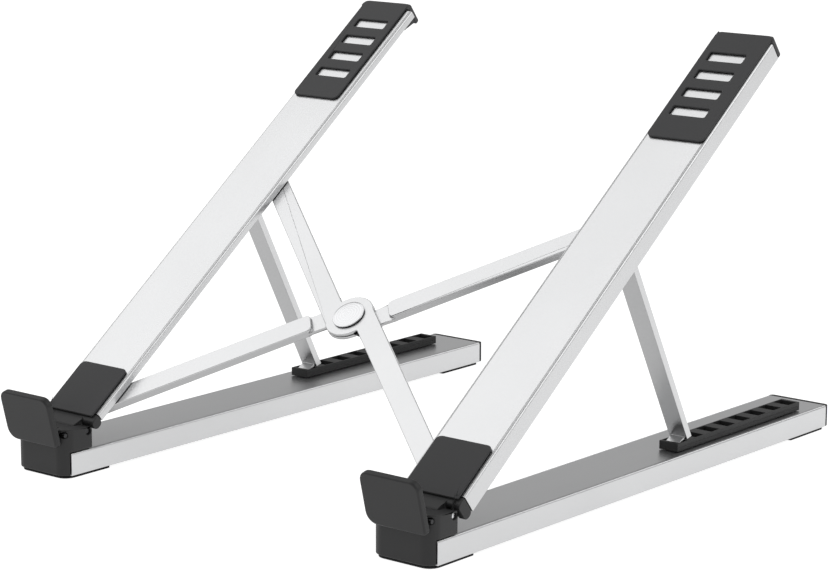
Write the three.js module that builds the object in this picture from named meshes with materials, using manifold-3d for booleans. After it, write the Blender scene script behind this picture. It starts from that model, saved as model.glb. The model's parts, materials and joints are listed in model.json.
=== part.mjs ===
// Folding laptop stand: two base rails, two arms that tilt on them, a pantograph
// brace that lets the two sides close together, a prop strut under each arm with a
// notched rack to stand in, and two flaps that hold the laptop's front edge.
// Millimetres, +X to the user's right, +Y to the rear, +Z up.

import * as THREE from 'three';
import { mergeVertices } from 'three/addons/utils/BufferGeometryUtils.js';
import Module from 'manifold-3d';

const wasm = await Module();
wasm.setup();

// ---- driving dimensions -------------------------------------------------------

const GAP = 0.3;              // between pieces that meet
const SHEET = 1.2;            // aluminium sheet of rails and arms
const SIDE_SPACING = 172;     // between the centre lines of the two sides

const FOOT_THICK = 0.9;
const FOOT_INSET = 0.7;       // from the rail's side faces
const FRONT_FOOT = { start: -2.4, end: 20 };
const REAR_FOOT = { fromEnd: 24, endGap: 1 };

const RAIL_LENGTH = 239.3;
const RAIL_WIDTH = 26.5;
const RAIL_BOTTOM = 1.1;
const RAIL_HEIGHT = 8.4;
const BEND_RADIUS = 0.7;      // outside radius of folded sheet edges
const CAP_THICK = 2;
const CAP_CORNER = 1.8;
const CAP_TONGUE = 8;

const BLOCK_FRONT = 3.45;     // ahead of the rail
const BLOCK_REAR = 10.4;      // behind the rail's front end
const BLOCK_CORNER = 5;
const BLOCK_TOP_REAR = 17.5;
const BLOCK_TONGUE = 14;      // inside the rail

const ARM_PIN = { y: 8.7, z: 16.2, radius: 1 };
const FLAP_PIN = { y: -2, z: 16.5, radius: 0.8 };
const PIN_RECESS = 0.8;       // from the block's side faces to a pin's ends
const KNUCKLE_WIDTH = 15;
const KNUCKLE_RADIUS = 2.4;
const LUG_WIDTH = 13;
const LUG_RADIUS = 1.8;

const FLAP_LEAN = 14;         // degrees ahead of upright
const FLAP = { inner: 12, outer: 13.1, top: 16.4, bottom: -2.9, thick: 2.9, back: -2.3 };
const FLAP_CORNER = { top: 3.4, rounded: 4.4, square: 1.2 };

const ARM_ANGLE = 36.6;       // degrees above the rails
const ARM_WIDTH = 26.9;
const ARM_START = 7.2;        // from the arm's hinge pin, along the arm
const ARM_END = 231;
const ARM_TOP = 1.3;          // above the hinge pin, square to the arm
const ARM_WALL_OUTER = 7.2;
const ARM_WALL_INNER = 3.1;
const ARM_BEND = 0.9;         // outside radius of the arm's folded edges
const PLUG = { start: 2.7, end: 6.9, depth: 4.1, corner: 1.8, insert: 9.3 };
const PLUG_CHEEK = { width: 2.6, depth: 7.4 };   // at the arm's outer edge

const PAD_THICK = 0.7;
const PAD_CORNER = 2.2;
const FRONT_PAD = { start: 5.4, end: 28.9, innerMargin: 1.6, outerMargin: 1.5 };
const REAR_PAD = { start: 177.4, lip: 2.8, toe: 10.5, toeTip: 0.6, toeRoot: 3.3 };
const REAR_MARGIN = { left: { inner: 3, outer: 0.9, lip: 1.3 }, right: { inner: 1.4, outer: 0.6, lip: 1.4 } };
const SLOT = { first: 189.1, pitch: 9.75, length: 4.8, low: -8.9, high: 7, corner: 0.7, count: 4 };

const RACK = { start: 142.5, width: 8.2, height: 3.5, wall: 0.6, corner: 0.8 };
const CELL = { count: 8, first: 1.6, length: 5.4, pitch: 10.6, floor: 0.5 };
const PROP_CLEAR = { left: 3.35, right: 1.15 };   // between the strut's bracket and the arm's outer wall

const STRUT_PIVOT = { y: 126, drop: 4 };   // along the arm, and below its top face
const STRUT_ANGLE = 98.95;    // degrees between arm and strut
const STRUT = { length: 84.4, width: 8, front: 2, back: 0.8, sheet: 0.9, slant: 0.7 };
const STRUT_EAR = 2.2;
const STRUT_PIN = 0.8;
const STRUT_TOE = { width: 5.9, length: 4.3 };
const BRACKET = { ear: 1.1, front: 6.4, bridge: 3 };

const BRACE_OFFSET = 5.2;     // brace pivots, inboard of the side's centre line
const BRACE_FRONT = 14.7;     // along the arm, from its hinge pin
const BRACE_CENTRE = 75.3;
const BRACE = { width: 8.7, depth: 3.1, sheet: 1.2, shift: 4.75, noseCorner: 2.3 };
const BOSS_RADIUS = 9.5;
const CROSS_GAP = { upper: 0.63, lower: 2.65 };   // from the other bar's edges to where a bar's channels stop
const RIVET = { radius: 1.5, head: 3, headThick: 1 };
const CENTRE_RIVET = { radius: 2.4, disc: 6.2, dome: 1, head: 4.4 };
const SLIDER = { width: 5, length: 12, thick: 1.4 };
const RIB = { width: 0.7, height: 1.5, start: 129, end: 224 };
const SCREW = { radius: 1.2, head: 2.3, headThick: 1, y: 10.5, length: 5 };
const ROUND_SHARE = 0.97;     // of half a width, the corner radius of a rounded end

const ARC_STEP = Math.PI / 10;
const ROUND_SEGMENTS = 32;

// ---- materials ----------------------------------------------------------------

const finish = (color, roughness, metalness) =>
  new THREE.MeshStandardMaterial({ color, roughness, metalness });
const aluminium = finish(0xd2d4d6, 0.38, 1);
const steel = finish(0xc6c8cb, 0.25, 1);
const plastic = finish(0x2a2a2b, 0.55, 0);
const silicone = finish(0x343536, 0.72, 0);

// ---- helpers ------------------------------------------------------------------

// A closed outline from corners [x, y, radius]; side -1 mirrors it.
function outline(corners, side = 1) {
  const points = [];
  const place = ([x, y]) => new THREE.Vector2(side * x, y);
  corners.forEach((corner, i) => {
    const here = place(corner);
    const radius = corner[2] ?? 0;
    if (radius === 0) {
      points.push(here);
      return;
    }
    const before = place(corners[(i + corners.length - 1) % corners.length]).sub(here).normalize();
    const after = place(corners[(i + 1) % corners.length]).sub(here).normalize();
    const half = before.angleTo(after) / 2;
    const centre = before.clone().add(after).setLength(radius / Math.sin(half)).add(here);
    const start = before.multiplyScalar(radius / Math.tan(half)).add(here).sub(centre);
    const end = after.multiplyScalar(radius / Math.tan(half)).add(here).sub(centre);
    const turn = Math.atan2(start.cross(end), start.dot(end));
    const steps = Math.max(2, Math.ceil(Math.abs(turn) / ARC_STEP));
    for (let k = 0; k <= steps; k += 1) {
      points.push(start.clone().rotateAround(new THREE.Vector2(), (turn * k) / steps).add(centre));
    }
  });
  return new THREE.Shape(points);
}

const box = (x0, x1, y0, y1, radius = 0) =>
  [[x0, y0, radius], [x1, y0, radius], [x1, y1, radius], [x0, y1, radius]];

function extrude(shape, depth) {
  return new THREE.ExtrudeGeometry(shape, { depth, bevelEnabled: false });
}

// Outline in X and Y, raised between two heights.
function alongZ(shape, z0, z1) {
  return extrude(shape, z1 - z0).translate(0, 0, z0);
}

// Outline in X and Z, drawn out between two Y values.
function alongY(shape, y0, y1) {
  return extrude(shape, y1 - y0).rotateX(Math.PI / 2).translate(0, y1, 0);
}

// Outline in Y and Z, drawn out between two X values.
function alongX(shape, x0, x1) {
  const [low, high] = [Math.min(x0, x1), Math.max(x0, x1)];
  const turn = new THREE.Matrix4().set(0, 0, 1, low, 1, 0, 0, 0, 0, 1, 0, 0, 0, 0, 0, 1);
  return extrude(shape, high - low).applyMatrix4(turn);
}

function rodX(radius, x0, x1, y, z) {
  return new THREE.CylinderGeometry(radius, radius, Math.abs(x1 - x0), ROUND_SEGMENTS)
    .rotateZ(Math.PI / 2).translate((x0 + x1) / 2, y, z);
}

function rodZ(radius, z0, z1, x, y) {
  return new THREE.CylinderGeometry(radius, radius, z1 - z0, ROUND_SEGMENTS)
    .rotateX(Math.PI / 2).translate(x, y, (z0 + z1) / 2);
}

function solid(geometry) {
  const bare = geometry.clone();
  bare.deleteAttribute('normal');
  bare.deleteAttribute('uv');
  const merged = mergeVertices(bare, 1e-5);
  return new wasm.Manifold(new wasm.Mesh({
    numProp: 3,
    vertProperties: new Float32Array(merged.attributes.position.array),
    triVerts: new Uint32Array(merged.index.array),
  }));
}

function geometryOf(manifold) {
  const data = manifold.getMesh();
  const geometry = new THREE.BufferGeometry();
  geometry.setAttribute('position', new THREE.BufferAttribute(data.vertProperties, 3));
  geometry.setIndex(new THREE.BufferAttribute(data.triVerts, 1));
  geometry.computeVertexNormals();
  return geometry;
}

// Joins the first list of geometries and cuts the second list from them.
function shapedSolid(joined, cuts = []) {
  const body = joined.map(solid).reduce((whole, part) => whole.add(part));
  return cuts.map(solid).reduce((whole, tool) => whole.subtract(tool), body);
}

const shaped = (joined, cuts) => geometryOf(shapedSolid(joined, cuts));

function piece(parent, name, geometry, material) {
  const mesh = new THREE.Mesh(geometry, material);
  mesh.name = name;
  parent.add(mesh);
}

function frameAt(parent, x, y, z, tilt = 0, turn = 0) {
  const group = new THREE.Group();
  group.position.set(x, y, z);
  group.rotation.set(THREE.MathUtils.degToRad(tilt), 0, turn);
  parent.add(group);
  return group;
}

// ---- what arm, strut and rack share --------------------------------------------

const armHalf = ARM_WIDTH / 2;
const armUnderside = ARM_TOP - SHEET;
const bracketInner = STRUT.width / 2 + GAP;
const bracketOuter = bracketInner + BRACKET.ear;

// From the side's centre line outboard to the strut and its rack.
const propOffset = (label) => armHalf - SHEET - PROP_CLEAR[label] - bracketOuter;

// ---- base: rail, cap, feet, rack, hinge block ---------------------------------

const railTop = RAIL_BOTTOM + RAIL_HEIGHT;
const railHalf = RAIL_WIDTH / 2;
const railInside = railHalf - SHEET;
const flangeUnderside = railTop - SHEET;

function baseRail() {
  const section = outline([
    [-railHalf, RAIL_BOTTOM], [-railHalf, railTop, BEND_RADIUS], [railHalf, railTop, BEND_RADIUS],
    [railHalf, RAIL_BOTTOM], [railInside, RAIL_BOTTOM], [railInside, flangeUnderside],
    [-railInside, flangeUnderside], [-railInside, RAIL_BOTTOM],
  ]);
  return alongY(section, 0, RAIL_LENGTH);
}

function rearCap() {
  const plateStart = RAIL_LENGTH + GAP;
  const plate = outline([
    [-railHalf, plateStart], [railHalf, plateStart],
    [railHalf, plateStart + CAP_THICK, CAP_CORNER], [-railHalf, plateStart + CAP_THICK, CAP_CORNER],
  ]);
  const inside = railInside - GAP;
  return shaped([
    alongZ(plate, RAIL_BOTTOM, railTop),
    alongZ(outline(box(-inside, inside, RAIL_LENGTH - CAP_TONGUE, plateStart + CAP_THICK / 2)),
      RAIL_BOTTOM + GAP, flangeUnderside - GAP),
  ]);
}

function foot(y0, y1, frontCorner) {
  const half = railHalf - FOOT_INSET;
  const plan = outline([
    [-half, y0, frontCorner], [half, y0, frontCorner], [half, y1, FOOT_INSET], [-half, y1, FOOT_INSET],
  ]);
  return alongZ(plan, 0, FOOT_THICK);
}

const rackLength = CELL.first * 2 + CELL.pitch * (CELL.count - 1) + CELL.length;
const rackBottom = railTop + GAP;
const rackTop = railTop + RACK.height;

function notchRack(x) {
  const half = RACK.width / 2;
  const body = outline(box(x - half, x + half, RACK.start, RACK.start + rackLength, RACK.corner));
  const cuts = [];
  for (let i = 0; i < CELL.count; i += 1) {
    const start = RACK.start + CELL.first + i * CELL.pitch;
    const cell = box(x - half + RACK.wall, x + half - RACK.wall, start, start + CELL.length);
    cuts.push(alongZ(outline(cell), rackBottom + CELL.floor, rackTop + 1));
  }
  return shaped([alongZ(body, rackBottom, rackTop)], cuts);
}

const noseRadius = -FLAP.back - GAP;
const blockSeat = railTop + GAP;

function frontBlock() {
  const nose = new THREE.Shape();
  nose.moveTo(-BLOCK_FRONT, FOOT_THICK + GAP);
  nose.lineTo(-GAP, FOOT_THICK + GAP);
  nose.lineTo(-GAP, blockSeat);
  nose.lineTo(BLOCK_REAR, blockSeat);
  nose.lineTo(BLOCK_REAR, BLOCK_TOP_REAR);
  nose.lineTo(FLAP_PIN.y, FLAP_PIN.z + noseRadius);
  nose.absarc(FLAP_PIN.y, FLAP_PIN.z, noseRadius, Math.PI / 2, Math.PI, false);
  nose.lineTo(-BLOCK_FRONT, FLAP_PIN.z - noseRadius);
  const plan = outline([
    [-railHalf, BLOCK_REAR + 1], [-railHalf, -BLOCK_FRONT, BLOCK_CORNER],
    [railHalf, -BLOCK_FRONT, BLOCK_CORNER], [railHalf, BLOCK_REAR + 1],
  ]);
  const inside = railInside - GAP;
  const body = solid(alongX(nose, -railHalf, railHalf))
    .intersect(solid(alongZ(plan, 0, BLOCK_TOP_REAR * 2)))
    .add(solid(alongZ(outline(box(-inside, inside, -1, BLOCK_TONGUE)),
      FOOT_THICK + GAP, flangeUnderside - GAP)));
  const knuckle = outline(box(ARM_PIN.y - KNUCKLE_RADIUS - GAP * 2, BLOCK_REAR + 1,
    ARM_PIN.z - KNUCKLE_RADIUS - GAP * 2, BLOCK_TOP_REAR * 2));
  const lug = outline(box(-BLOCK_FRONT - 1, FLAP_PIN.y + LUG_RADIUS + GAP * 2,
    FLAP_PIN.z - LUG_RADIUS - GAP * 2, BLOCK_TOP_REAR * 2));
  const knuckleHalf = KNUCKLE_WIDTH / 2 + GAP;
  const lugHalf = LUG_WIDTH / 2 + GAP;
  const cut = [
    alongX(knuckle, -knuckleHalf, knuckleHalf),
    alongX(lug, -lugHalf, lugHalf),
    rodX(ARM_PIN.radius + GAP, -RAIL_WIDTH, RAIL_WIDTH, ARM_PIN.y, ARM_PIN.z),
    rodX(FLAP_PIN.radius + GAP, -RAIL_WIDTH, RAIL_WIDTH, FLAP_PIN.y, FLAP_PIN.z),
    rodZ(SCREW.radius + GAP, 0, flangeUnderside - SHEET, 0, SCREW.y),
    rodZ(SCREW.head + GAP, 0, FOOT_THICK + GAP * 2 + SCREW.headThick, 0, SCREW.y),
  ];
  return geometryOf(cut.reduce((whole, tool) => whole.subtract(solid(tool)), body));
}

function blockScrew() {
  const low = FOOT_THICK + GAP;
  return shaped([
    rodZ(SCREW.head, low, low + SCREW.headThick, 0, SCREW.y),
    rodZ(SCREW.radius, low, low + SCREW.length, 0, SCREW.y),
  ]);
}

function pin(spec) {
  const end = railHalf - PIN_RECESS;
  return rodX(spec.radius, -end, end, spec.y, spec.z);
}

// ---- flap ----------------------------------------------------------------------

function flap(side) {
  const left = side < 0 ? -FLAP.outer : -FLAP.inner;
  const right = side < 0 ? FLAP.inner : FLAP.outer;
  const face = outline([
    [left, FLAP.bottom, FLAP_CORNER.rounded], [right, FLAP.bottom, FLAP_CORNER.square],
    [right, FLAP.top, FLAP_CORNER.top], [left, FLAP.top, FLAP_CORNER.top],
  ]);
  const front = FLAP.back - FLAP.thick;
  const lug = LUG_WIDTH / 2;
  return shaped([
    alongY(face, front, FLAP.back),
    rodX(LUG_RADIUS, -lug, lug, 0, 0),
    alongX(outline(box(FLAP.back - 1, 0, -LUG_RADIUS, LUG_RADIUS)), -lug, lug),
  ], [rodX(FLAP_PIN.radius + GAP, -RAIL_WIDTH, RAIL_WIDTH, 0, 0)]);
}

// ---- arm: channel, end plug, pads, bracket, rivet ------------------------------

const braceTop = ARM_TOP - ARM_WALL_INNER - GAP;
const braceHeadTop = braceTop - BRACE.sheet - GAP;

function armChannel(side) {
  const outerFoot = ARM_TOP - ARM_WALL_OUTER;
  const innerFoot = ARM_TOP - ARM_WALL_INNER;
  const section = outline([
    [-armHalf, innerFoot], [-armHalf, ARM_TOP, ARM_BEND], [armHalf, ARM_TOP, ARM_BEND],
    [armHalf, outerFoot], [armHalf - SHEET, outerFoot], [armHalf - SHEET, armUnderside],
    [-armHalf + SHEET, armUnderside], [-armHalf + SHEET, innerFoot],
  ], side);
  const ribs = [-1, 1].map((edge) => {
    const inner = -BRACE_OFFSET + edge * (SLIDER.width / 2 + GAP);
    const x0 = Math.min(inner, inner + edge * RIB.width);
    const rib = outline(box(x0, x0 + RIB.width, armUnderside - RIB.height, armUnderside + SHEET / 2), side);
    return alongY(rib, RIB.start, RIB.end);
  });
  const hole = rodZ(RIVET.radius + GAP, -ARM_WALL_OUTER, ARM_WALL_OUTER, -side * BRACE_OFFSET, BRACE_FRONT);
  return shaped([alongY(section, ARM_START, ARM_END), ...ribs], [hole]);
}

// A slab that closes the channel's end, with a deeper cheek at the outer edge and a
// tongue that holds the hinge pin.
function armEndPlug(side) {
  const { start, end, depth, corner, insert } = PLUG;
  const profile = (low) => outline([
    [start, ARM_TOP - low, corner], [end, ARM_TOP - low, corner], [end, ARM_TOP], [start, ARM_TOP, corner],
  ]);
  const round = KNUCKLE_RADIUS * ROUND_SHARE;
  const inSlab = (start + end) / 2;
  const tongue = outline([
    [-KNUCKLE_RADIUS, -KNUCKLE_RADIUS, round], [inSlab, -KNUCKLE_RADIUS], [inSlab, KNUCKLE_RADIUS / 2],
    [0, KNUCKLE_RADIUS], [-KNUCKLE_RADIUS, KNUCKLE_RADIUS, round],
  ]);
  const half = KNUCKLE_WIDTH / 2;
  const inside = armHalf - SHEET - GAP;
  return shaped([
    alongX(profile(depth), -armHalf, armHalf),
    alongX(profile(PLUG_CHEEK.depth), side * (armHalf - PLUG_CHEEK.width), side * armHalf),
    alongX(tongue, -half, half),
    alongX(outline(box(inSlab, insert, braceTop + GAP, armUnderside - GAP)), -inside, inside),
  ], [rodX(ARM_PIN.radius + GAP, -RAIL_WIDTH, RAIL_WIDTH, 0, 0)]);
}

const padBottom = ARM_TOP + GAP;
const padTop = padBottom + PAD_THICK;

function frontPad(side) {
  const { start, end, innerMargin, outerMargin } = FRONT_PAD;
  const pad = outline([
    [-armHalf + innerMargin, start, FOOT_INSET], [armHalf - outerMargin, start, FOOT_INSET],
    [armHalf - outerMargin, end, PAD_CORNER], [-armHalf + innerMargin, end, PAD_CORNER],
  ], side);
  return alongZ(pad, padBottom, padTop);
}

function rearPad(side, margin) {
  const inner = -armHalf + margin.inner;
  const outer = armHalf - margin.outer;
  const lipStart = ARM_END + GAP;
  const lipEnd = lipStart + REAR_PAD.lip;
  const bottom = ARM_TOP - ARM_WALL_OUTER;
  const top = outline([
    [inner, REAR_PAD.start, PAD_CORNER], [outer, REAR_PAD.start, PAD_CORNER],
    [outer, lipEnd, PAD_CORNER], [inner, lipEnd, PAD_CORNER],
  ], side);
  const lip = outline([
    [-armHalf + margin.lip, lipStart], [armHalf, lipStart],
    [armHalf, lipEnd, PLUG.corner], [-armHalf + margin.lip, lipEnd, PLUG.corner],
  ], side);
  const inside = armHalf - SHEET - GAP;
  const toeTop = ARM_TOP - ARM_WALL_INNER;
  const toe = outline([
    [lipStart - REAR_PAD.toe, toeTop - REAR_PAD.toeTip], [lipStart + GAP, toeTop - REAR_PAD.toeRoot],
    [lipStart + GAP, toeTop], [lipStart - REAR_PAD.toe, toeTop],
  ]);
  const cuts = [];
  for (let i = 0; i < SLOT.count; i += 1) {
    const start = SLOT.first + i * SLOT.pitch;
    const slot = outline(box(SLOT.low, SLOT.high, start, start + SLOT.length, SLOT.corner));
    cuts.push(alongZ(slot, 0, padTop + PAD_THICK));
  }
  return shaped([
    alongZ(top, padBottom, padTop),
    alongZ(lip, bottom, padTop - PAD_THICK / 2),
    alongX(toe, -inside, inside),
  ], cuts);
}

const strutDrop = ARM_TOP - STRUT_PIVOT.drop;

// Two ears with a bridge ahead of the pivot, in the strut pivot's own frame.
function strutBracket() {
  const roof = armUnderside - GAP - strutDrop;
  const ear = new THREE.Shape();
  ear.moveTo(-BRACKET.front, roof);
  ear.lineTo(-BRACKET.front, roof - BRACKET.ear);
  ear.absarc(0, 0, STRUT_EAR, Math.PI, Math.PI * 2, false);
  ear.lineTo(STRUT_EAR, roof);
  const bridge = outline(box(-BRACKET.front, -BRACKET.bridge, roof - BRACKET.ear, roof));
  return shaped([
    alongX(ear, bracketInner, bracketOuter),
    alongX(ear, -bracketInner, -bracketOuter),
    alongX(bridge, -bracketInner - BRACKET.ear / 2, bracketInner + BRACKET.ear / 2),
  ], [rodX(STRUT_PIN + GAP, -ARM_WIDTH, ARM_WIDTH, 0, 0)]);
}

function strutPin() {
  return rodX(STRUT_PIN, -bracketOuter, bracketOuter, 0, 0);
}

function braceFrontRivet(side) {
  const x = -side * BRACE_OFFSET;
  return shaped([
    rodZ(RIVET.radius, braceHeadTop - RIVET.headThick, ARM_TOP, x, BRACE_FRONT),
    rodZ(RIVET.head, braceHeadTop - RIVET.headThick, braceHeadTop, x, BRACE_FRONT),
  ]);
}

// ---- strut: folded channel, web ahead, toe bent forward ------------------------

function strut() {
  const { front, back, sheet, length, slant } = STRUT;
  const half = STRUT.width / 2;
  const inner = half - sheet;
  const cheek = outline([[0, -front], [length, -front], [length + slant, back], [0, back]]);
  const hollow = outline(box(-STRUT_EAR * 2, length + slant * 2, sheet - front, front * 2));
  const webStart = outline(box(-STRUT_EAR * 2, STRUT_EAR + GAP, -front * 2, front * 2));
  const toe = outline(box(length - sheet, length, -front - STRUT_TOE.length, sheet / 2 - front));
  const channel = shapedSolid([
    alongX(cheek, -half, half),
    rodX(STRUT_EAR, -half, half, 0, 0),
  ], [
    alongX(hollow, -inner, inner),
    alongX(webStart, -inner, inner),
    rodX(STRUT_PIN + GAP, -ARM_WIDTH, ARM_WIDTH, 0, 0),
  ]);
  return geometryOf(channel.add(solid(alongX(toe, -STRUT_TOE.width / 2, STRUT_TOE.width / 2))));
}

// ---- pantograph brace -----------------------------------------------------------

const braceReach = SIDE_SPACING / 2 - BRACE_OFFSET;
const braceRise = BRACE_CENTRE - BRACE_FRONT;
const braceHalf = Math.hypot(braceReach, braceRise);
const braceAngle = Math.atan2(braceReach, braceRise);
const braceSkew = Math.asin(BRACE.shift / braceHalf);
const plateTop = braceTop - BRACE.sheet - GAP;
const halfLength = Math.sqrt(braceHalf ** 2 - BRACE.shift ** 2);

// From the centre to where a bar's channels stop, beside the other bar.
const crossing = Math.PI - 2 * braceAngle;
const barEdge = BRACE.shift + BRACE.width / 2;
const stopAt = (gap) => (gap + barEdge * (1 + Math.cos(crossing))) / Math.sin(crossing);

// Places a geometry drawn along +Y from a brace end pivot: the half's own line
// leaves the pivot at a small skew, so it passes beside the brace's centre.
function onHalf(geometry, hand, far) {
  geometry.rotateZ(-hand * braceSkew);
  if (far) geometry.rotateZ(Math.PI).translate(0, 2 * braceHalf, 0);
  return geometry;
}

// One half of a brace bar: a channel open below, round at its pivot.
function halfChannel(hand, far, end, endCorner) {
  const half = BRACE.width / 2;
  const inner = half - BRACE.sheet;
  const bottom = braceTop - BRACE.depth;
  const web = braceTop - BRACE.sheet;
  const outside = outline([
    [-half, -half, half * ROUND_SHARE], [half, -half, half * ROUND_SHARE],
    [half, end, endCorner], [-half, end, endCorner],
  ]);
  const inside = outline([
    [-inner, -inner, inner * ROUND_SHARE], [inner, -inner, inner * ROUND_SHARE],
    [inner, end - BRACE.sheet, endCorner / 2], [-inner, end - BRACE.sheet, endCorner / 2],
  ]);
  return solid(onHalf(alongZ(outside, bottom, braceTop), hand, far))
    .subtract(solid(onHalf(alongZ(inside, bottom - 1, web), hand, far)));
}

function bossPlate(hand, top, reach) {
  const half = BRACE.width / 2;
  const strip = () => outline(box(-half, half, halfLength - reach, halfLength, BEND_RADIUS));
  return solid(rodZ(BOSS_RADIUS, top - BRACE.sheet, top, 0, braceHalf))
    .add(solid(onHalf(alongZ(strip(), top - BRACE.sheet, top), hand, false)))
    .add(solid(onHalf(alongZ(strip(), top - BRACE.sheet, top), hand, true)));
}

function pivotHoles(body) {
  const low = -ARM_WALL_OUTER;
  return [[0, RIVET.radius], [braceHalf, CENTRE_RIVET.radius], [2 * braceHalf, RIVET.radius]]
    .reduce((whole, [y, radius]) => whole.subtract(solid(rodZ(radius + GAP, low, ARM_TOP, 0, y))), body);
}

// The bar whose plate carries the disc: its channels run into the boss plate.
function upperBrace() {
  const hand = 1;
  const stop = stopAt(CROSS_GAP.upper);
  const end = halfLength - stop;
  const body = halfChannel(hand, false, end, 1)
    .add(halfChannel(hand, true, end, 1))
    .add(bossPlate(hand, braceTop, stop + BRACE.sheet));
  return geometryOf(pivotHoles(body));
}

// The bar that passes beneath: its channels stop short of the boss above.
function lowerBrace() {
  const hand = -1;
  const stop = stopAt(CROSS_GAP.lower);
  const end = halfLength - stop;
  const body = halfChannel(hand, false, end, BRACE.noseCorner)
    .add(halfChannel(hand, true, end, BRACE.noseCorner))
    .add(bossPlate(hand, plateTop, stop + BRACE.width / 2));
  return geometryOf(pivotHoles(body));
}

function centreDisc() {
  const { disc, dome, radius } = CENTRE_RIVET;
  const seat = braceTop + GAP;
  const rim = seat + dome / 2;
  const points = [new THREE.Vector2(0, plateTop - BRACE.sheet), new THREE.Vector2(radius, plateTop - BRACE.sheet),
    new THREE.Vector2(radius, seat), new THREE.Vector2(disc, seat), new THREE.Vector2(disc, rim)];
  const steps = 5;
  for (let k = 1; k <= steps; k += 1) {
    const angle = (Math.PI / 2) * (k / steps);
    points.push(new THREE.Vector2(k === steps ? 0 : disc * Math.cos(angle), rim + (dome / 2) * Math.sin(angle)));
  }
  return new THREE.LatheGeometry(points, ROUND_SEGMENTS).rotateX(Math.PI / 2);
}

function centreHead() {
  const top = plateTop - BRACE.sheet - GAP;
  return rodZ(CENTRE_RIVET.head, top - RIVET.headThick, top, 0, 0);
}

function slider() {
  const top = armUnderside - GAP;
  const plate = outline(box(-SLIDER.width / 2, SLIDER.width / 2, -SLIDER.length / 2, SLIDER.length / 2, 1));
  return shaped([alongZ(plate, top - SLIDER.thick, top)], [rodZ(RIVET.radius + GAP, -ARM_WALL_OUTER, ARM_TOP, 0, 0)]);
}

function braceRearRivet() {
  return shaped([
    rodZ(RIVET.radius, braceHeadTop - RIVET.headThick, armUnderside - GAP, 0, 0),
    rodZ(RIVET.head, braceHeadTop - RIVET.headThick, braceHeadTop, 0, 0),
  ]);
}

// ---- assembly -------------------------------------------------------------------

const stand = new THREE.Group();

for (const [label, side] of [['left', -1], ['right', 1]]) {
  const centreX = (side * SIDE_SPACING) / 2;
  const base = frameAt(stand, centreX, 0, 0);
  piece(base, `${label}_base_rail`, baseRail(), aluminium);
  piece(base, `${label}_front_block`, frontBlock(), plastic);
  piece(base, `${label}_block_screw`, blockScrew(), steel);
  piece(base, `${label}_rear_cap`, rearCap(), plastic);
  piece(base, `${label}_front_foot`, foot(FRONT_FOOT.start, FRONT_FOOT.end, BLOCK_CORNER - FOOT_INSET), silicone);
  piece(base, `${label}_rear_foot`,
    foot(RAIL_LENGTH - REAR_FOOT.fromEnd, RAIL_LENGTH - REAR_FOOT.endGap, FOOT_INSET), silicone);
  piece(base, `${label}_notch_rack`, notchRack(side * propOffset(label)), plastic);
  piece(base, `${label}_arm_hinge_pin`, pin(ARM_PIN), steel);
  piece(base, `${label}_flap_pin`, pin(FLAP_PIN), steel);

  const leaf = frameAt(base, 0, FLAP_PIN.y, FLAP_PIN.z, FLAP_LEAN);
  piece(leaf, `${label}_flap`, flap(side), plastic);

  const arm = frameAt(stand, centreX, ARM_PIN.y, ARM_PIN.z, ARM_ANGLE);
  piece(arm, `${label}_arm_channel`, armChannel(side), aluminium);
  piece(arm, `${label}_arm_end_plug`, armEndPlug(side), plastic);
  piece(arm, `${label}_front_pad`, frontPad(side), silicone);
  piece(arm, `${label}_rear_pad`, rearPad(side, REAR_MARGIN[label]), silicone);
  piece(arm, `${label}_brace_front_rivet`, braceFrontRivet(side), steel);
  const slide = frameAt(arm, -side * BRACE_OFFSET, BRACE_FRONT + 2 * braceRise, 0);
  piece(slide, `${label}_brace_slider`, slider(), plastic);
  piece(slide, `${label}_brace_rear_rivet`, braceRearRivet(), steel);

  const prop = frameAt(arm, side * propOffset(label), STRUT_PIVOT.y, strutDrop);
  piece(prop, `${label}_strut_bracket`, strutBracket(), aluminium);
  piece(prop, `${label}_strut_pin`, strutPin(), steel);
  piece(frameAt(prop, 0, 0, 0, -STRUT_ANGLE), `${label}_strut`, strut(), aluminium);
}

// Both brace bars are drawn along +Y from a front pivot, then turned into place.
const bracePlane = frameAt(stand, 0, ARM_PIN.y, ARM_PIN.z, ARM_ANGLE);
const lowerBar = frameAt(bracePlane, -braceReach, BRACE_FRONT, 0, 0, -braceAngle);
piece(lowerBar, 'brace_lower_bar', lowerBrace(), aluminium);
const upperBar = frameAt(bracePlane, braceReach, BRACE_FRONT, 0, 0, braceAngle);
piece(upperBar, 'brace_upper_bar', upperBrace(), aluminium);
const hub = frameAt(bracePlane, 0, BRACE_CENTRE, 0);
piece(hub, 'brace_centre_rivet', centreDisc(), steel);
piece(hub, 'brace_centre_washer', centreHead(), steel);

// The origin is under the middle of the whole stand.
const extent = new THREE.Box3().setFromObject(stand, true);
stand.position.y = -(extent.min.y + extent.max.y) / 2;

export default stand;
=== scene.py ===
"""Looks of a folding aluminium laptop stand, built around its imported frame.

The stand has two sides that mirror each other: a base rail on the table, an arm
that tilts on it, a strut that props the arm in a notched rack, and a flap that
holds the laptop's edge. Two crossing brace bars join the sides.
"""

from __future__ import annotations

import json
import logging
import math
from dataclasses import dataclass
from enum import Enum
from typing import Callable, Iterable

import bpy
from mathutils import Matrix, Vector

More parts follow.
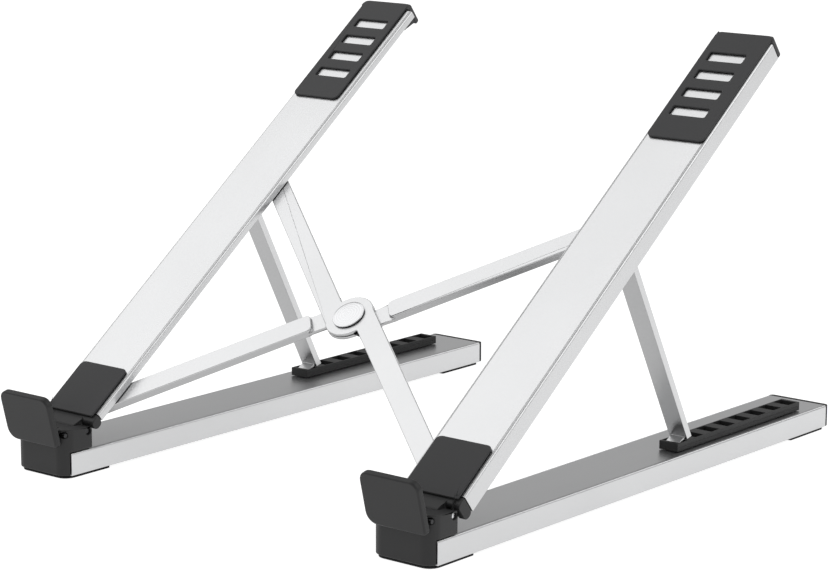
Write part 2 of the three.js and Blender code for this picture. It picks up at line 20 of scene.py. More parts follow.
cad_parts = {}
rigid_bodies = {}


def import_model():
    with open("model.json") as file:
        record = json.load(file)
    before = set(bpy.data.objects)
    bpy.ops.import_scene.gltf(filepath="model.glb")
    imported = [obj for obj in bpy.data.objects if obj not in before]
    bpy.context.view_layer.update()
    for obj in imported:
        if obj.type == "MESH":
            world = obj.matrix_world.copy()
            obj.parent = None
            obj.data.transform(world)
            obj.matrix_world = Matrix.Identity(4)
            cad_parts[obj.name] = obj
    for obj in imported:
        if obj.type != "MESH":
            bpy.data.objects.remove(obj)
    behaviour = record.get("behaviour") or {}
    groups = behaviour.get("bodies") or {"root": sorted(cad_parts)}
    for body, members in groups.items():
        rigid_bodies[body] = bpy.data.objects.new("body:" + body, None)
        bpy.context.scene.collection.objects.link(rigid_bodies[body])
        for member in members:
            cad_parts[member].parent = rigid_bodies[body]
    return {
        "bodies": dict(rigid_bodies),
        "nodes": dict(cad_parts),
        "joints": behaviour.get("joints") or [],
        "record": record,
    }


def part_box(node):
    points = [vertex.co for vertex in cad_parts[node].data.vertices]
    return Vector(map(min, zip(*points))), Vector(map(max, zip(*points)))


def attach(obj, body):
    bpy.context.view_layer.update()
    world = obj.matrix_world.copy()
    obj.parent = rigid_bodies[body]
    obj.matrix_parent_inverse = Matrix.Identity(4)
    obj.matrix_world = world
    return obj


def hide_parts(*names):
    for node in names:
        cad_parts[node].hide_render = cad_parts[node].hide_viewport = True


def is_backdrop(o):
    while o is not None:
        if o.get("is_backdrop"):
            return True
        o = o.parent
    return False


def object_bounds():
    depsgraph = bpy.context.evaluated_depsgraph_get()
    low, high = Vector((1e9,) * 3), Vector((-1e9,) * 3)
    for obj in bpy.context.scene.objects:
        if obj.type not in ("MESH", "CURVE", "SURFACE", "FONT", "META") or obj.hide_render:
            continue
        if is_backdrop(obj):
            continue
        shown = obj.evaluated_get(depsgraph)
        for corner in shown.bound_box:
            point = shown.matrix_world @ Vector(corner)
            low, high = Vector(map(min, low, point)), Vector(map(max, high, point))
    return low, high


LOG = logging.getLogger("laptop_stand")
MM = 0.001
SAME_PLACE = 1e-6  # metres; points nearer than this are one place
ON_FACE = 1e-5  # metres; a point this near a flat face lies on it
FLAT = math.radians(0.4)  # faces that turn less than this are one flat face


class Side(Enum):
    """Which side of the stand a piece belongs to, with its direction along X."""

    LEFT = -1
    RIGHT = 1

    @property
    def label(self) -> str:
        """The side's word in node and body names."""
        return self.name.lower()


# ---- finishes -------------------------------------------------------------------


@dataclass(frozen=True)
class MetalFinish:
    """A metal surface with fine blasted grain, slow variation and painted shade on its downward
    faces.

    Args:
        name: The material's name.
        color: Base colour, linear RGB.
        roughness: Middle roughness of the surface.
        grain: Size of the blasted grain, in metres.
        grain_depth: Height of the grain, in metres.
        variation: How far roughness wanders over the surface.
        under: Share of the colour left on faces that look straight down, halfway
            down and level; painted shade on the downward faces, in place of the shadowed floor
            they would mirror.
        halfway: Where the halfway share lies, from 0 straight down to 1 level.
        cloud: Slow patches per metre.
        tint: Share of the colour left in the darkest patches.
    """

    name: str
    color: tuple[float, float, float]
    roughness: float
    grain: float
    grain_depth: float
    variation: float = 0.05
    under: tuple[float, float, float] = (1.0, 1.0, 1.0)
    halfway: float = 0.53
    cloud: float = 18.0
    tint: float = 0.97

    def build(self) -> bpy.types.Material:
        """Makes the material.

        Returns:
            The new material.
        """
        material, tree, shader = new_material(self.name)
        shader.inputs["Metallic"].default_value = 1.0
        place = tree.nodes.new("ShaderNodeTexCoord")
        grain = noise(tree, place, 1.0 / self.grain, 3.0)
        cloud = noise(tree, place, self.cloud, 2.0)
        tint = ramp(tree, cloud, tuple(self.tint * c for c in self.color), self.color)
        # Painted shade: faces that look down are darkened by their normal.
        underside_shade_share = self.dulling(tree, place)
        mix = tree.nodes.new("ShaderNodeMix")
        mix.data_type = "RGBA"
        mix.blend_type = "MULTIPLY"
        mix.inputs["Factor"].default_value = 1.0
        tree.links.new(tint, mix.inputs["A"])
        tree.links.new(underside_shade_share, mix.inputs["B"])
        tree.links.new(mix.outputs["Result"], shader.inputs["Base Color"])
        low, high = self.roughness - self.variation, self.roughness + self.variation
        rough = spread(tree, grain, low, high)
        tree.links.new(rough, shader.inputs["Roughness"])
        bump(tree, shader, grain, self.grain_depth)
        return material

    def dulling(
        self, tree: bpy.types.NodeTree, place: bpy.types.Node
    ) -> bpy.types.NodeSocket:
        """Darkens the faces that look down.

        Args:
            tree: The material's node tree.
            place: Its texture coordinate node.

        Returns:
            The socket with the share of the colour that the painted shade leaves.
        """
        split = tree.nodes.new("ShaderNodeSeparateXYZ")
        tree.links.new(place.outputs["Normal"], split.inputs["Vector"])
        level = tree.nodes.new("ShaderNodeMapRange")
        level.inputs["From Min"].default_value = -1.0
        level.inputs["From Max"].default_value = 0.0
        tree.links.new(split.outputs["Z"], level.inputs["Value"])
        node = tree.nodes.new("ShaderNodeValToRGB")
        bands = node.color_ramp.elements
        bands[0].color = (*(self.under[0],) * 3, 1.0)
        bands[1].color = (*(self.under[2],) * 3, 1.0)
        middle = bands.new(self.halfway)
        middle.color = (*(self.under[1],) * 3, 1.0)
        tree.links.new(level.outputs["Result"], node.inputs["Fac"])
        return node.outputs["Color"]


@dataclass(frozen=True)
class MouldedFinish:
    """A moulded plastic or silicone surface with a fine spark-eroded texture.

    Args:
        name: The material's name.
        color: Base colour, linear RGB.
        roughness: Middle roughness of the surface.
        grain: Size of the texture, in metres.
        grain_depth: Height of the texture, in metres.
        sheen: Strength of the dusty sheen that soft rubber shows at its edges.
        gloss: Specular level.
        variation: How far roughness wanders over the surface.
        cloud: Slow patches per metre.
        tint: Share of the colour left in the darkest patches.
    """

    name: str
    color: tuple[float, float, float]
    roughness: float
    grain: float
    grain_depth: float
    sheen: float = 0.0
    gloss: float = 0.3
    variation: float = 0.05
    cloud: float = 40.0
    tint: float = 0.88

    def build(self) -> bpy.types.Material:
        """Makes the material.

        Returns:
            The new material.
        """
        material, tree, shader = new_material(self.name)
        shader.inputs["Sheen Weight"].default_value = self.sheen
        shader.inputs["Sheen Roughness"].default_value = 0.5
        shader.inputs["Specular IOR Level"].default_value = self.gloss
        place = tree.nodes.new("ShaderNodeTexCoord")
        grain = noise(tree, place, 1.0 / self.grain, 2.0)
        cloud = noise(tree, place, self.cloud, 3.0)
        tint = ramp(tree, cloud, tuple(self.tint * c for c in self.color), self.color)
        tree.links.new(tint, shader.inputs["Base Color"])
        low, high = self.roughness - self.variation, self.roughness + self.variation
        rough = spread(tree, cloud, low, high)
        tree.links.new(rough, shader.inputs["Roughness"])
        bump(tree, shader, grain, self.grain_depth)
        return material


@dataclass(frozen=True)
class SpunFinish:
    """A turned metal face with concentric tool marks about its axis.

    Args:
        name: The material's name.
        color: Base colour, linear RGB.
        roughness: Middle roughness of the face.
        centre: A point on the axis, in metres.
        tilt: The face's turn about X, in radians.
        pitch: Distance between tool marks, in metres.
        variation: How far roughness wanders from mark to mark.
        mark: A tool mark's depth as a share of the pitch.
        waver: How far the marks stray from true circles.
    """

    name: str
    color: tuple[float, float, float]
    roughness: float
    centre: Vector
    tilt: float
    pitch: float
    variation: float = 0.08
    mark: float = 0.018
    waver: float = 0.3

    def build(self) -> bpy.types.Material:
        """Makes the material.

        Returns:
            The new material.
        """
        material, tree, shader = new_material(self.name)
        shader.inputs["Metallic"].default_value = 1.0
        shader.inputs["Base Color"].default_value = (*self.color, 1.0)
        place = tree.nodes.new("ShaderNodeTexCoord")
        mapping = tree.nodes.new("ShaderNodeMapping")
        mapping.vector_type = "TEXTURE"
        mapping.inputs["Location"].default_value = self.centre
        mapping.inputs["Rotation"].default_value = (self.tilt, 0.0, 0.0)
        tree.links.new(place.outputs["Object"], mapping.inputs["Vector"])
        rings = tree.nodes.new("ShaderNodeTexWave")
        rings.wave_type = "RINGS"
        rings.rings_direction = "Z"
        # The wave texture makes 20 rings to a unit at scale 1.
        rings.inputs["Scale"].default_value = 1.0 / (self.pitch * 20.0)
        rings.inputs["Distortion"].default_value = self.waver
        tree.links.new(mapping.outputs["Vector"], rings.inputs["Vector"])
        low, high = self.roughness - self.variation, self.roughness + self.variation
        rough = spread(tree, rings.outputs["Fac"], low, high)
        tree.links.new(rough, shader.inputs["Roughness"])
        bump(tree, shader, rings.outputs["Fac"], self.pitch * self.mark)
        return material


def new_material(
    name: str,
) -> tuple[bpy.types.Material, bpy.types.NodeTree, bpy.types.Node]:
    """Starts a node material.

    Args:
        name: The material's name.

    Returns:
        The material, its node tree and its principled shader.
    """
    material = bpy.data.materials.new(name)
    material.use_nodes = True
    return material, material.node_tree, material.node_tree.nodes["Principled BSDF"]


def noise(
    tree: bpy.types.NodeTree, place: bpy.types.Node, scale: float, detail: float
) -> bpy.types.NodeSocket:
    """Adds noise on object coordinates.

    Args:
        tree: The material's node tree.
        place: Its texture coordinate node.
        scale: Noise cells per metre.
        detail: Octaves of detail.

    Returns:
        The noise's factor socket.
    """
    node = tree.nodes.new("ShaderNodeTexNoise")
    node.inputs["Scale"].default_value = scale
    node.inputs["Detail"].default_value = detail
    tree.links.new(place.outputs["Object"], node.inputs["Vector"])
    return node.outputs["Fac"]


def ramp(
    tree: bpy.types.NodeTree,
    factor: bpy.types.NodeSocket,
    low: tuple[float, ...],
    high: tuple[float, ...],
) -> bpy.types.NodeSocket:
    """Turns a factor into a colour between two colours.

    Args:
        tree: The material's node tree.
        factor: The socket that drives the colour.
        low: Colour where the factor is small.
        high: Colour where the factor is large.

    Returns:
        The colour socket.
    """
    node = tree.nodes.new("ShaderNodeValToRGB")
    node.color_ramp.elements[0].position = 0.35
    node.color_ramp.elements[0].color = (*low, 1.0)
    node.color_ramp.elements[1].position = 0.65
    node.color_ramp.elements[1].color = (*high, 1.0)
    tree.links.new(factor, node.inputs["Fac"])
    return node.outputs["Color"]


def spread(
    tree: bpy.types.NodeTree, factor: bpy.types.NodeSocket, low: float, high: float
) -> bpy.types.NodeSocket:
    """Maps a factor onto a range.

    Args:
        tree: The material's node tree.
        factor: The socket to map.
        low: Result at 0.3 and below.
        high: Result at 0.7 and above.

    Returns:
        The mapped socket.
    """
    node = tree.nodes.new("ShaderNodeMapRange")
    node.inputs["From Min"].default_value = 0.3
    node.inputs["From Max"].default_value = 0.7
    node.inputs["To Min"].default_value = low
    node.inputs["To Max"].default_value = high
    tree.links.new(factor, node.inputs["Value"])
    return node.outputs["Result"]


def bump(
    tree: bpy.types.NodeTree,
    shader: bpy.types.Node,
    height: bpy.types.NodeSocket,
    distance: float,
) -> None:
    """Gives the shader a bump normal.

    Args:
        tree: The material's node tree.
        shader: The principled shader.
        height: The socket with the height, from 0 to 1.
        distance: What a height of 1 stands for, in metres.
    """
    node = tree.nodes.new("ShaderNodeBump")
    node.inputs["Distance"].default_value = distance
    tree.links.new(height, node.inputs["Height"])
    tree.links.new(node.outputs["Normal"], shader.inputs["Normal"])


class Finishes:
    """Every material of the stand, made once."""

    def __init__(self, hub: Vector, lean: float) -> None:
        """Builds the materials.

        Args:
            hub: A point on the centre disc's axis, in metres.
            lean: The disc's tilt about X, in radians.
        """
        self.aluminium = MetalFinish(
            "satin_aluminium",
            (0.60, 0.603, 0.608),
            0.33,
            0.0003,
            0.000003,
            # Painted shade: straight-down faces keep 0.22 of the colour, halfway-down ones 0.64,
            # level ones all of it.
            under=(0.22, 0.64, 1.0),
        ).build()
        self.bright = MetalFinish(
            "bright_metal", (0.62, 0.62, 0.63), 0.25, 0.0004, 0.000002
        ).build()
        # Painted shade: near-black metal for the pins that sit deep in shaded holes, standing in
        # for the holes' shade.
        self.dark_steel = MetalFinish(
            "blackened_steel", (0.05, 0.05, 0.052), 0.35, 0.0004, 0.000002
        ).build()
        self.spun = SpunFinish(
            "spun_disc", (0.62, 0.622, 0.63), 0.24, hub, lean, 0.00016
        ).build()
        self.plastic = MouldedFinish(
            "black_plastic", (0.021, 0.021, 0.0216), 0.5, 0.0005, 0.000012
        ).build()
        self.silicone = MouldedFinish(
            "silicone", (0.038, 0.038, 0.0395), 0.66, 0.0004, 0.00001, sheen=0.15, gloss=0.25
        ).build()
        self.foot = MouldedFinish(
            "foot_silicone", (0.012, 0.012, 0.0125), 0.7, 0.0004, 0.00001, gloss=0.15
        ).build()
        self.by_slot = {
            "satin_aluminium": self.aluminium,
            "black_plastic": self.plastic,
            "silicone": self.silicone,
            "bright_metal": self.bright,
        }


# ---- shaping --------------------------------------------------------------------


@dataclass(frozen=True)
class Edge:
    """How a piece's edges are rounded.

    Args:
        width: Width of the rounding, in metres.
        segments: Faces across the rounding.
        angle: Edges sharper than this are rounded, in degrees.
    """

    width: float
    segments: int = 4
    angle: float = 40.0


def choose(piece: bpy.types.Object) -> None:
    """Deselects everything, then selects one object and makes it active.

    Args:
        piece: The object to select.
    """
    bpy.ops.object.select_all(action="DESELECT")
    piece.select_set(True)
    bpy.context.view_layer.objects.active = piece


def apply_modifier(piece: bpy.types.Object, kind: str, **values: object) -> None:
    """Adds a modifier and applies it.

    Args:
        piece: The object it works on.
        kind: The modifier's type.
        values: Its settings.
    """
    choose(piece)
    modifier = piece.modifiers.new(kind.lower(), kind)
    for key, value in values.items():
        setattr(modifier, key, value)
    bpy.ops.object.modifier_apply(modifier=modifier.name)


def round_edges(piece: bpy.types.Object, edge: Edge) -> None:
    """Rounds a piece's sharp edges.

    Args:
        piece: The object to round.
        edge: How far.
    """
    apply_modifier(
        piece,
        "BEVEL",
        limit_method="ANGLE",
        angle_limit=math.radians(edge.angle),
        width=edge.width,
        segments=edge.segments,
        use_clamp_overlap=False,
        miter_outer="MITER_ARC",
    )


def smooth(piece: bpy.types.Object, angle: float = 32.0) -> None:
    """Shades a piece smooth, with flat faces kept flat.

    Args:
        piece: The object to shade.
        angle: Edges sharper than this stay sharp, in degrees.
    """
    choose(piece)
    bpy.ops.object.shade_smooth_by_angle(angle=math.radians(angle))
    apply_modifier(piece, "WEIGHTED_NORMAL", keep_sharp=True, weight=80)


def select_where(piece: bpy.types.Object, chosen: Callable[[Vector], bool]) -> None:
    """Selects the vertices that a test picks, in edit mode.

    Args:
        piece: The object, active and in edit mode.
        chosen: Says whether a vertex at a place is picked.
    """
    bpy.ops.mesh.select_mode(type="VERT")
    bpy.ops.mesh.select_all(action="DESELECT")
    bpy.ops.object.mode_set(mode="OBJECT")
    for vertex in piece.data.vertices:
        vertex.select = chosen(vertex.co)
    bpy.ops.object.mode_set(mode="EDIT")


@dataclass(frozen=True)
class Groove:
    """A fine line pressed along a folded sheet beside its bend.

    Args:
        inset: From the sheet's side face to the line, in metres.
        half_width: Half the line's width, in metres.
        depth: The line's depth, in metres.
    """

    inset: float
    half_width: float
    depth: float

    def press(
        self, piece: bpy.types.Object, sides: Iterable[float], point: Vector, normal: Vector
    ) -> None:
        """Presses the line into a flat face.

        Args:
            piece: The object to press.
            sides: The X of each line.
            point: A point on the face.
            normal: The face's normal.
        """
        choose(piece)
        bpy.ops.object.mode_set(mode="EDIT")
        for x in sides:
            for offset in (-self.half_width, 0.0, self.half_width):
                bpy.ops.mesh.select_all(action="SELECT")
                bpy.ops.mesh.bisect(plane_co=(x + offset, 0.0, 0.0), plane_no=(1.0, 0.0, 0.0))
            select_where(
                piece,
                lambda co: abs(co.x - x) < SAME_PLACE
                and abs((co - point).dot(normal)) < ON_FACE,
            )
            bpy.ops.transform.translate(value=-normal * self.depth)
        bpy.ops.object.mode_set(mode="OBJECT")


class Frame:
    """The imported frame: its nodes, record and places."""

    def __init__(self) -> None:
        """Loads the frame."""
        self.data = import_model()
        self.record = self.data["record"]
        self.slots = {row["node"]: row["material_slot"] for row in self.record["subparts"]}
        self.bodies = {
            node: body
            for body, nodes in self.record["behaviour"]["bodies"].items()
            for node in nodes
        }
        self.joints = {row["name"]: row for row in self.record["behaviour"]["joints"]}
        self.mounts = {row["name"]: row for row in self.record["mounts"]}

    def copy(self, node: str, name: str) -> bpy.types.Object:
        """Copies a node's solid as a merged mesh with whole flat faces.

        Args:
            node: The node to copy.
            name: The new piece's name.

        Returns:
            The new piece.
        """
        piece = bpy.data.objects.new(name, self.data["nodes"][node].data.copy())
        piece.data.name = name
        bpy.context.scene.collection.objects.link(piece)
        choose(piece)
        bpy.ops.object.mode_set(mode="EDIT")
        bpy.ops.mesh.select_all(action="SELECT")
        bpy.ops.mesh.remove_doubles(threshold=2 * SAME_PLACE)
        bpy.ops.mesh.dissolve_limited(angle_limit=FLAT)
        bpy.ops.object.mode_set(mode="OBJECT")
        return piece

    def settle(
        self, piece: bpy.types.Object, node: str, material: bpy.types.Material
    ) -> bpy.types.Object:
        """Dresses a piece and puts it in its node's place.

        Args:
            piece: The finished piece.
            node: The node it stands for.
            material: What it is made of.

        Returns:
            The same piece.
        """
        piece.data.materials.clear()
        piece.data.materials.append(material)
        for polygon in piece.data.polygons:
            polygon.material_index = 0
        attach(piece, self.bodies[node])
        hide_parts(node)
        LOG.info("%s: %d faces", piece.name, len(piece.data.polygons))
        return piece


class SubAssembly:
    """What every sub-assembly of the stand shares."""

    def __init__(self, frame: Frame, finishes: Finishes) -> None:
        """Keeps the frame and the finishes.

        Args:
            frame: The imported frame.
            finishes: The stand's materials.
        """
        self.frame = frame
        self.finishes = finishes

    def refine(
        self, node: str, name: str, edge: Edge, finish: bpy.types.Material | None = None
    ) -> bpy.types.Object:
        """Makes a node's piece with rounded edges.

        Args:
            node: The node it stands for.
            name: The piece's name.
            edge: How its edges are rounded.
            finish: Its material, if it isn't its slot's own.

        Returns:
            The new piece.
        """
        piece = self.frame.copy(node, name)
        round_edges(piece, edge)
        smooth(piece)
        own = self.finishes.by_slot[self.frame.slots[node]]
        return self.frame.settle(piece, node, finish or own)


@dataclass(frozen=True)
class RackSizes:
    """The notched rack's cells, in metres.

    Args:
        cells: How many cells.
        first: From the rack's front end to the first cell.
        length: A cell's length.
        pitch: From one cell to the next.
        wall: The side walls' thickness.
        floor: The floor's thickness.
        ledge: How far the line along each long side is pressed in.
        edge: How its edges are rounded.
    """

    cells: int = 8
    first: float = 1.6 * MM
    length: float = 5.4 * MM
    pitch: float = 10.6 * MM
    wall: float = 0.6 * MM
    floor: float = 0.5 * MM
    ledge: float = 0.12 * MM
    edge: Edge = Edge(0.14 * MM, 2)


@dataclass(frozen=True)
class BaseSizes:
    """Roundings and lines of a base rail and what is fixed to it."""

    rail: Edge = Edge(0.12 * MM, 2)
    block: Edge = Edge(0.4 * MM)
    cap: Edge = Edge(0.3 * MM, 3)
    foot: Edge = Edge(0.2 * MM, 3)
    rack: RackSizes = RackSizes()
    pin: Edge = Edge(0.12 * MM, 3)
    groove: Groove = Groove(0.85 * MM, 0.22 * MM, 0.3 * MM)


class BaseSide(SubAssembly):
    """A base rail with its block, cap, feet, rack, pins and screw."""

    sizes = BaseSizes()

    def build(self, side: Side) -> None:
        """Builds one side's base.

        Args:
            side: Which side.
        """
        label = side.label
        self.rail(label)
        for part, name, edge in (
            ("front_block", "block", self.sizes.block),
            ("block_screw", "screw", self.sizes.pin),
            ("rear_cap", "end_cap", self.sizes.cap),
        ):
            self.refine(f"{label}_{part}", f"{label}_{name}", edge)
        # Painted shade: the same arm pin is bright on the right and near-black on the left,
        # where its hole lies in shade; both lip pins get the near-black metal as painted shade
        # of their holes.
        arm_pin_lit_or_shaded = self.finishes.bright if side is Side.RIGHT else self.finishes.dark_steel
        for part, name, edge, finish in (
            ("arm_hinge_pin", "arm_pin", self.sizes.pin, arm_pin_lit_or_shaded),
            ("flap_pin", "lip_pin", self.sizes.pin, self.finishes.dark_steel),
            ("front_foot", "toe_strip", self.sizes.foot, self.finishes.foot),
            ("rear_foot", "heel_strip", self.sizes.foot, self.finishes.foot),
        ):
            self.refine(f"{label}_{part}", f"{label}_{name}", edge, finish)
        self.rack(label)

    def rail(self, label: str) -> None:
        """Builds the rail, with a pressed line beside each bend.

        Args:
            label: The side's word.
        """
        node = f"{label}_base_rail"
        low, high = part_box(node)
        piece = self.frame.copy(node, f"{label}_rail")
        round_edges(piece, self.sizes.rail)
        inset = self.sizes.groove.inset
        self.sizes.groove.press(
            piece, (low[0] + inset, high[0] - inset), Vector(high), Vector((0.0, 0.0, 1.0))
        )
        smooth(piece)
        self.frame.settle(piece, node, self.finishes.aluminium)

    def rack(self, label: str) -> None:
        """Builds the rack: a bar with sunk cells and a fine line along its sides.

        Args:
            label: The side's word.
        """
        sizes = self.sizes.rack
        node = f"{label}_notch_rack"
        low, high = (Vector(corner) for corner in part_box(node))
        bpy.ops.object.select_all(action="DESELECT")
        bpy.ops.mesh.primitive_cube_add(size=1.0, location=(low + high) / 2)
        piece = bpy.context.object
        piece.name = f"{label}_rack"
        piece.scale = high - low
        bpy.ops.object.transform_apply(location=True, rotation=True, scale=True)
        bpy.ops.object.mode_set(mode="EDIT")
        starts = [low.y + sizes.first + sizes.pitch * i for i in range(sizes.cells)]
        middle = (low.z + high.z) / 2
        cuts = [
            (Vector((0.0, y, 0.0)), Vector((0.0, 1.0, 0.0)))
            for start in starts
            for y in (start, start + sizes.length)
        ]
        cuts += [
            (Vector((x, 0.0, 0.0)), Vector((1.0, 0.0, 0.0)))
            for x in (low.x + sizes.wall, high.x - sizes.wall)
        ]
        cuts += [
            (Vector((0.0, 0.0, middle + step * sizes.ledge)), Vector((0.0, 0.0, 1.0)))
            for step in (-1.0, 0.0, 1.0)
        ]
        for point, normal in cuts:
            bpy.ops.mesh.select_all(action="SELECT")
            bpy.ops.mesh.bisect(plane_co=point, plane_no=normal)
        for x, push in ((low.x, 1.0), (high.x, -1.0)):
            select_where(
                piece,
                lambda co: abs(co.x - x) < SAME_PLACE and abs(co.z - middle) < SAME_PLACE,
            )
            bpy.ops.transform.translate(value=(push * sizes.ledge, 0.0, 0.0))
        bpy.ops.mesh.select_mode(type="FACE")
        bpy.ops.mesh.select_all(action="DESELECT")
        bpy.ops.object.mode_set(mode="OBJECT")
        for polygon in piece.data.polygons:
            x, y, z = polygon.center
            polygon.select = (
                z > high.z - SAME_PLACE
                and low.x + sizes.wall < x < high.x - sizes.wall
                and any(start < y < start + sizes.length for start in starts)
            )
        bpy.ops.object.mode_set(mode="EDIT")
        drop = high.z - low.z - sizes.floor
        bpy.ops.mesh.extrude_region_move(TRANSFORM_OT_translate={"value": (0.0, 0.0, -drop)})
        bpy.ops.mesh.select_all(action="SELECT")
        bpy.ops.mesh.remove_doubles(threshold=SAME_PLACE)
        bpy.ops.mesh.normals_make_consistent(inside=False)
        bpy.ops.object.mode_set(mode="OBJECT")
        round_edges(piece, sizes.edge)
        smooth(piece)
        self.frame.settle(piece, node, self.finishes.plastic)


@dataclass(frozen=True)
class ArmSizes:
    """Roundings and lines of an arm and what is fixed to it."""

    channel: Edge = Edge(0.12 * MM, 2)
    plug: Edge = Edge(0.3 * MM, 3)
    pad: Edge = Edge(0.22 * MM, 3)
    metal: Edge = Edge(0.15 * MM, 3)
    groove: Groove = Groove(1.0 * MM, 0.24 * MM, 0.34 * MM)


class Arm(SubAssembly):
    """A tilting arm with its plug, pads, strut bracket and rivets."""

    sizes = ArmSizes()

    def build(self, side: Side) -> None:
        """Builds one side's arm.

        Args:
            side: Which side.
        """
        label = side.label
        self.channel(label)
        for part, name, edge in (
            ("arm_end_plug", "arm_plug", self.sizes.plug),
            ("front_pad", "lower_pad", self.sizes.pad),
            ("rear_pad", "upper_pad", self.sizes.pad),
            ("strut_bracket", "strut_ears", self.sizes.metal),
            ("strut_pin", "strut_pivot", self.sizes.metal),
            ("brace_front_rivet", "front_rivet", self.sizes.metal),
            ("brace_rear_rivet", "rear_rivet", self.sizes.metal),
            ("brace_slider", "slide_shoe", self.sizes.metal),
        ):
            self.refine(f"{label}_{part}", f"{label}_{name}", edge)

    def channel(self, label: str) -> None:
        """Builds the folded channel, with a pressed line beside each bend.

        Args:
            label: The side's word.
        """
        node = f"{label}_arm_channel"
        low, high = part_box(node)
        mount = self.frame.mounts[f"{label}_front_pad_face"]
        normal = Vector(mount["axis"]).normalized()
        piece = self.frame.copy(node, f"{label}_arm")
        top = max(piece.data.vertices, key=lambda vertex: vertex.co.dot(normal)).co.copy()
        round_edges(piece, self.sizes.channel)
        inset = self.sizes.groove.inset
        self.sizes.groove.press(piece, (low[0] + inset, high[0] - inset), top, normal)
        smooth(piece)
        self.frame.settle(piece, node, self.finishes.aluminium)


class Props(SubAssembly):
    """The folded strut beneath each arm."""

    edge = Edge(0.16 * MM, 3)

    def build(self, side: Side) -> None:
        """Builds one strut.

        Args:
            side: Which side.
        """
        self.refine(f"{side.label}_strut", f"{side.label}_prop", self.edge)


class Lips(SubAssembly):
    """The flap that holds the laptop's edge on each side."""

    edge = Edge(0.75 * MM, 5)

    def build(self, side: Side) -> None:
        """Builds one flap.

        Args:
            side: Which side.
        """
        self.refine(f"{side.label}_flap", f"{side.label}_lip", self.edge)


@dataclass(frozen=True)
class DiscSizes:
    """Sizes of the centre disc, in metres.

    Args:
        facets: Sides round the disc.
        stem: The stem's radius.
        rim: The rim's height.
        rise: The dome's height above the rim.
        edge: Rounding at the disc's rim.
        steps: Rings from the rim to the middle of the dome.
    """

    facets: int = 96
    stem: float = 2.4 * MM
    rim: float = 0.45 * MM
    rise: float = 0.5 * MM
    edge: Edge = Edge(0.14 * MM, 3)
    steps: int = 9


class Brace(SubAssembly):
    """Two crossing bars joined by a domed disc at their middle."""

    bar = Edge(0.34 * MM, 4)
    washer = Edge(0.3 * MM, 3)
    disc_sizes = DiscSizes()

    def build(self) -> None:
        """Builds the brace."""
        self.refine("brace_lower_bar", "brace_low_bar", self.bar)
        self.refine("brace_upper_bar", "brace_top_bar", self.bar)
        self.refine("brace_centre_washer", "centre_washer", self.washer)
        self.disc()

    def disc(self) -> None:
        """Builds the disc: a stem, a flat rim and a low dome with a fine edge."""
        sizes = self.disc_sizes
        node = "brace_centre_rivet"
        joint = self.frame.joints["brace_cross"]
        axis = Vector(joint["axis"]).normalized()
        hub = Vector(joint["pos_m"])
        source = self.frame.data["nodes"][node].data
        heights = [(vertex.co - hub).dot(axis) for vertex in source.vertices]
        reach = max(
            (vertex.co - hub - axis * height).length
            for vertex, height in zip(source.vertices, heights)
        )
        bottom, top = min(heights), max(heights)
        seat = top - sizes.rim - sizes.rise
        bpy.ops.object.select_all(action="DESELECT")
        bpy.ops.mesh.primitive_cylinder_add(
            vertices=sizes.facets,
            radius=sizes.stem,
            depth=seat - bottom,
            location=(0.0, 0.0, (seat + bottom) / 2),
        )
        piece = bpy.context.object
        piece.name = "centre_disc"
        bpy.ops.object.transform_apply(location=True, rotation=True, scale=True)
        bpy.ops.object.mode_set(mode="EDIT")
        select_where(piece, lambda co: co.z > seat - SAME_PLACE)
        bpy.ops.mesh.extrude_region_move(TRANSFORM_OT_translate={"value": (0.0, 0.0, 0.0)})
        ratio = reach / sizes.stem
        bpy.ops.transform.resize(value=(ratio, ratio, 1.0), center_override=(0.0, 0.0, seat))
        bpy.ops.mesh.extrude_region_move(TRANSFORM_OT_translate={"value": (0.0, 0.0, sizes.rim)})
        radius = reach
        for step in range(1, sizes.steps):
            share, last = step / sizes.steps, (step - 1) / sizes.steps
            wanted = reach * (1.0 - share)
            lift = sizes.rise * ((1.0 - last) ** 2 - (1.0 - share) ** 2)
            bpy.ops.mesh.extrude_region_move(TRANSFORM_OT_translate={"value": (0.0, 0.0, lift)})
            ratio = wanted / radius
            bpy.ops.transform.resize(value=(ratio, ratio, 1.0), center_override=(0.0, 0.0, 0.0))
            radius = wanted
        bpy.ops.mesh.poke(offset=0.0)
        bpy.ops.mesh.select_all(action="SELECT")
        bpy.ops.mesh.remove_doubles(threshold=SAME_PLACE / 10)
        bpy.ops.mesh.normals_make_consistent(inside=False)
        bpy.ops.object.mode_set(mode="OBJECT")
        round_edges(piece, sizes.edge)
        smooth(piece)
        piece.rotation_mode = "QUATERNION"
        piece.rotation_quaternion = Vector((0.0, 0.0, 1.0)).rotation_difference(axis)
        piece.location = hub
        choose(piece)
        bpy.ops.object.transform_apply(location=True, rotation=True, scale=True)
        self.frame.settle(piece, node, self.finishes.spun)


# ---- studio ---------------------------------------------------------------------


@dataclass(frozen=True)
class SoftBox:
    """One square soft box that faces the stand.

    Args:
        name: The light's name.
        place: Where it hangs, in metres.
        size: Its side, in metres.
        radiance: Its brightness.
        target: The point it faces, in metres.
    """

    name: str
    place: tuple[float, float, float]
    size: float
    radiance: float
    target: tuple[float, float, float] = (0.0, 0.0, 0.06)

    def hang(self) -> None:
        """Adds the light."""
        data = bpy.data.lights.new(self.name, "AREA")
        data.size = self.size
        data.energy = self.radiance * math.pi * self.size**2
        lamp = bpy.data.objects.new(self.name, data)
        bpy.context.scene.collection.objects.link(lamp)
        lamp.location = self.place
        lamp.rotation_mode = "QUATERNION"
        aim = Vector(self.target) - Vector(self.place)
        lamp.rotation_quaternion = aim.to_track_quat("-Z", "Y")


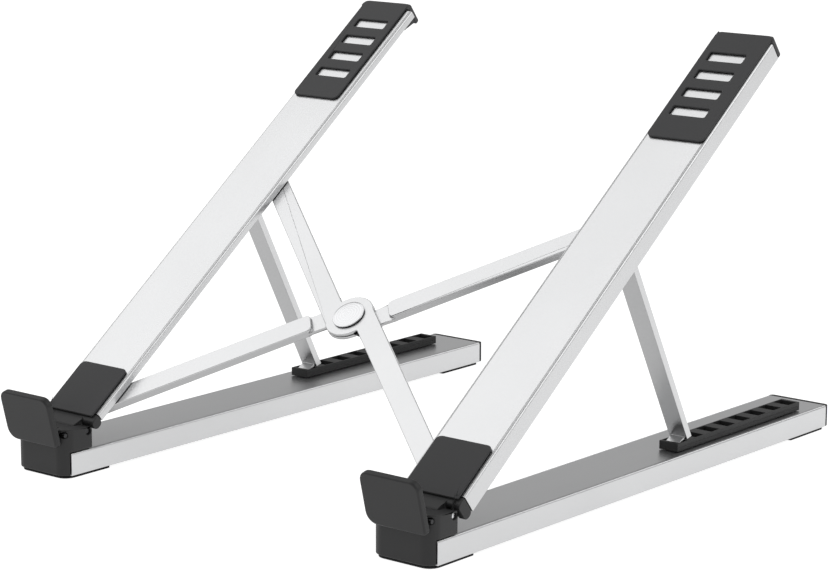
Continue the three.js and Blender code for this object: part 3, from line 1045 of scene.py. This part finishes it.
@dataclass(frozen=True)
class Studio:
    """Camera, lights and floor.

    Args:
        azimuth: Camera's turn about the stand, in degrees from looking along +Y.
        elevation: Camera's height above the horizon, in degrees.
        roll: Camera's roll, in degrees.
        distance: From the camera to the point it aims at, in metres.
        lens: Focal length, in millimetres.
        aim: The point aimed at, from the middle of the stand's box, in metres.
        surround: Brightness of the surround.
        glow: Brightness of the floor's own light.
        floor_size: The floor's side, in metres.
        floor_grey: The floor's own grey, linear.
        boxes: The soft boxes.
    """

    azimuth: float = 39.622
    elevation: float = 11.611
    roll: float = 0.09
    distance: float = 1.06772
    lens: float = 124.26
    aim: tuple[float, float, float] = (-0.00194, -0.00559, -0.01447)
    surround: float = 0.5
    glow: float = 0.92
    floor_size: float = 24.0
    floor_grey: float = 0.35
    boxes: tuple[SoftBox, ...] = (
        SoftBox("left_box", (-0.87, -0.3, 1.15), 1.5, 1.02),
        SoftBox("right_box", (1.0, 0.3, 0.85), 0.9, 1.4),
        SoftBox("rear_box", (0.32, 1.25, 1.1), 0.8, 1.3),
    )

    def place_camera(self, middle: Vector) -> None:
        """Adds the camera.

        Args:
            middle: The middle of the stand's box.
        """
        a, e = math.radians(self.azimuth), math.radians(self.elevation)
        back = Vector((math.sin(a) * math.cos(e), -math.cos(a) * math.cos(e), math.sin(e)))
        data = bpy.data.cameras.new("camera")
        data.lens = self.lens
        camera = bpy.data.objects.new("camera", data)
        bpy.context.scene.collection.objects.link(camera)
        camera.rotation_mode = "QUATERNION"
        look = (-back).to_track_quat("-Z", "Y")
        roll = Matrix.Rotation(math.radians(self.roll), 4, "Z").to_quaternion()
        camera.rotation_quaternion = look @ roll
        camera.location = middle + Vector(self.aim) + back * self.distance
        bpy.context.scene.camera = camera

    def light(self) -> None:
        """Adds soft boxes and a pale surround."""
        world = bpy.data.worlds.new("surround")
        world.use_nodes = True
        backdrop = world.node_tree.nodes["Background"]
        backdrop.inputs["Color"].default_value = (1.0, 1.0, 1.0, 1.0)
        backdrop.inputs["Strength"].default_value = self.surround
        bpy.context.scene.world = world
        for box in self.boxes:
            box.hang()

    def floor(self) -> None:
        """Adds a wide pale floor that glows a little, as a light table does."""
        bpy.ops.object.select_all(action="DESELECT")
        bpy.ops.mesh.primitive_plane_add(size=self.floor_size)
        plane = bpy.context.object
        plane.name = "floor"
        material, _, shader = new_material("floor")
        shader.inputs["Base Color"].default_value = (*(self.floor_grey,) * 3, 1.0)
        shader.inputs["Roughness"].default_value = 0.9
        shader.inputs["Specular IOR Level"].default_value = 0.0
        shader.inputs["Emission Color"].default_value = (1.0, 1.0, 1.0, 1.0)
        shader.inputs["Emission Strength"].default_value = self.glow
        plane.data.materials.append(material)
        plane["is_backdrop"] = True


def main() -> None:
    """Builds the studio and the stand."""
    logging.basicConfig(level=logging.INFO)
    frame = Frame()
    low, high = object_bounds()
    bpy.context.scene.view_settings.view_transform = "Standard"
    studio = Studio()
    studio.place_camera((low + high) / 2)
    studio.light()
    studio.floor()
    cross = frame.joints["brace_cross"]
    axis = Vector(cross["axis"])
    finishes = Finishes(Vector(cross["pos_m"]), math.atan2(-axis.y, axis.z))
    for side in Side:
        BaseSide(frame, finishes).build(side)
        Arm(frame, finishes).build(side)
        Props(frame, finishes).build(side)
        Lips(frame, finishes).build(side)
    Brace(frame, finishes).build()
    low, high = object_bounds()


if __name__ == "__main__":
    main()
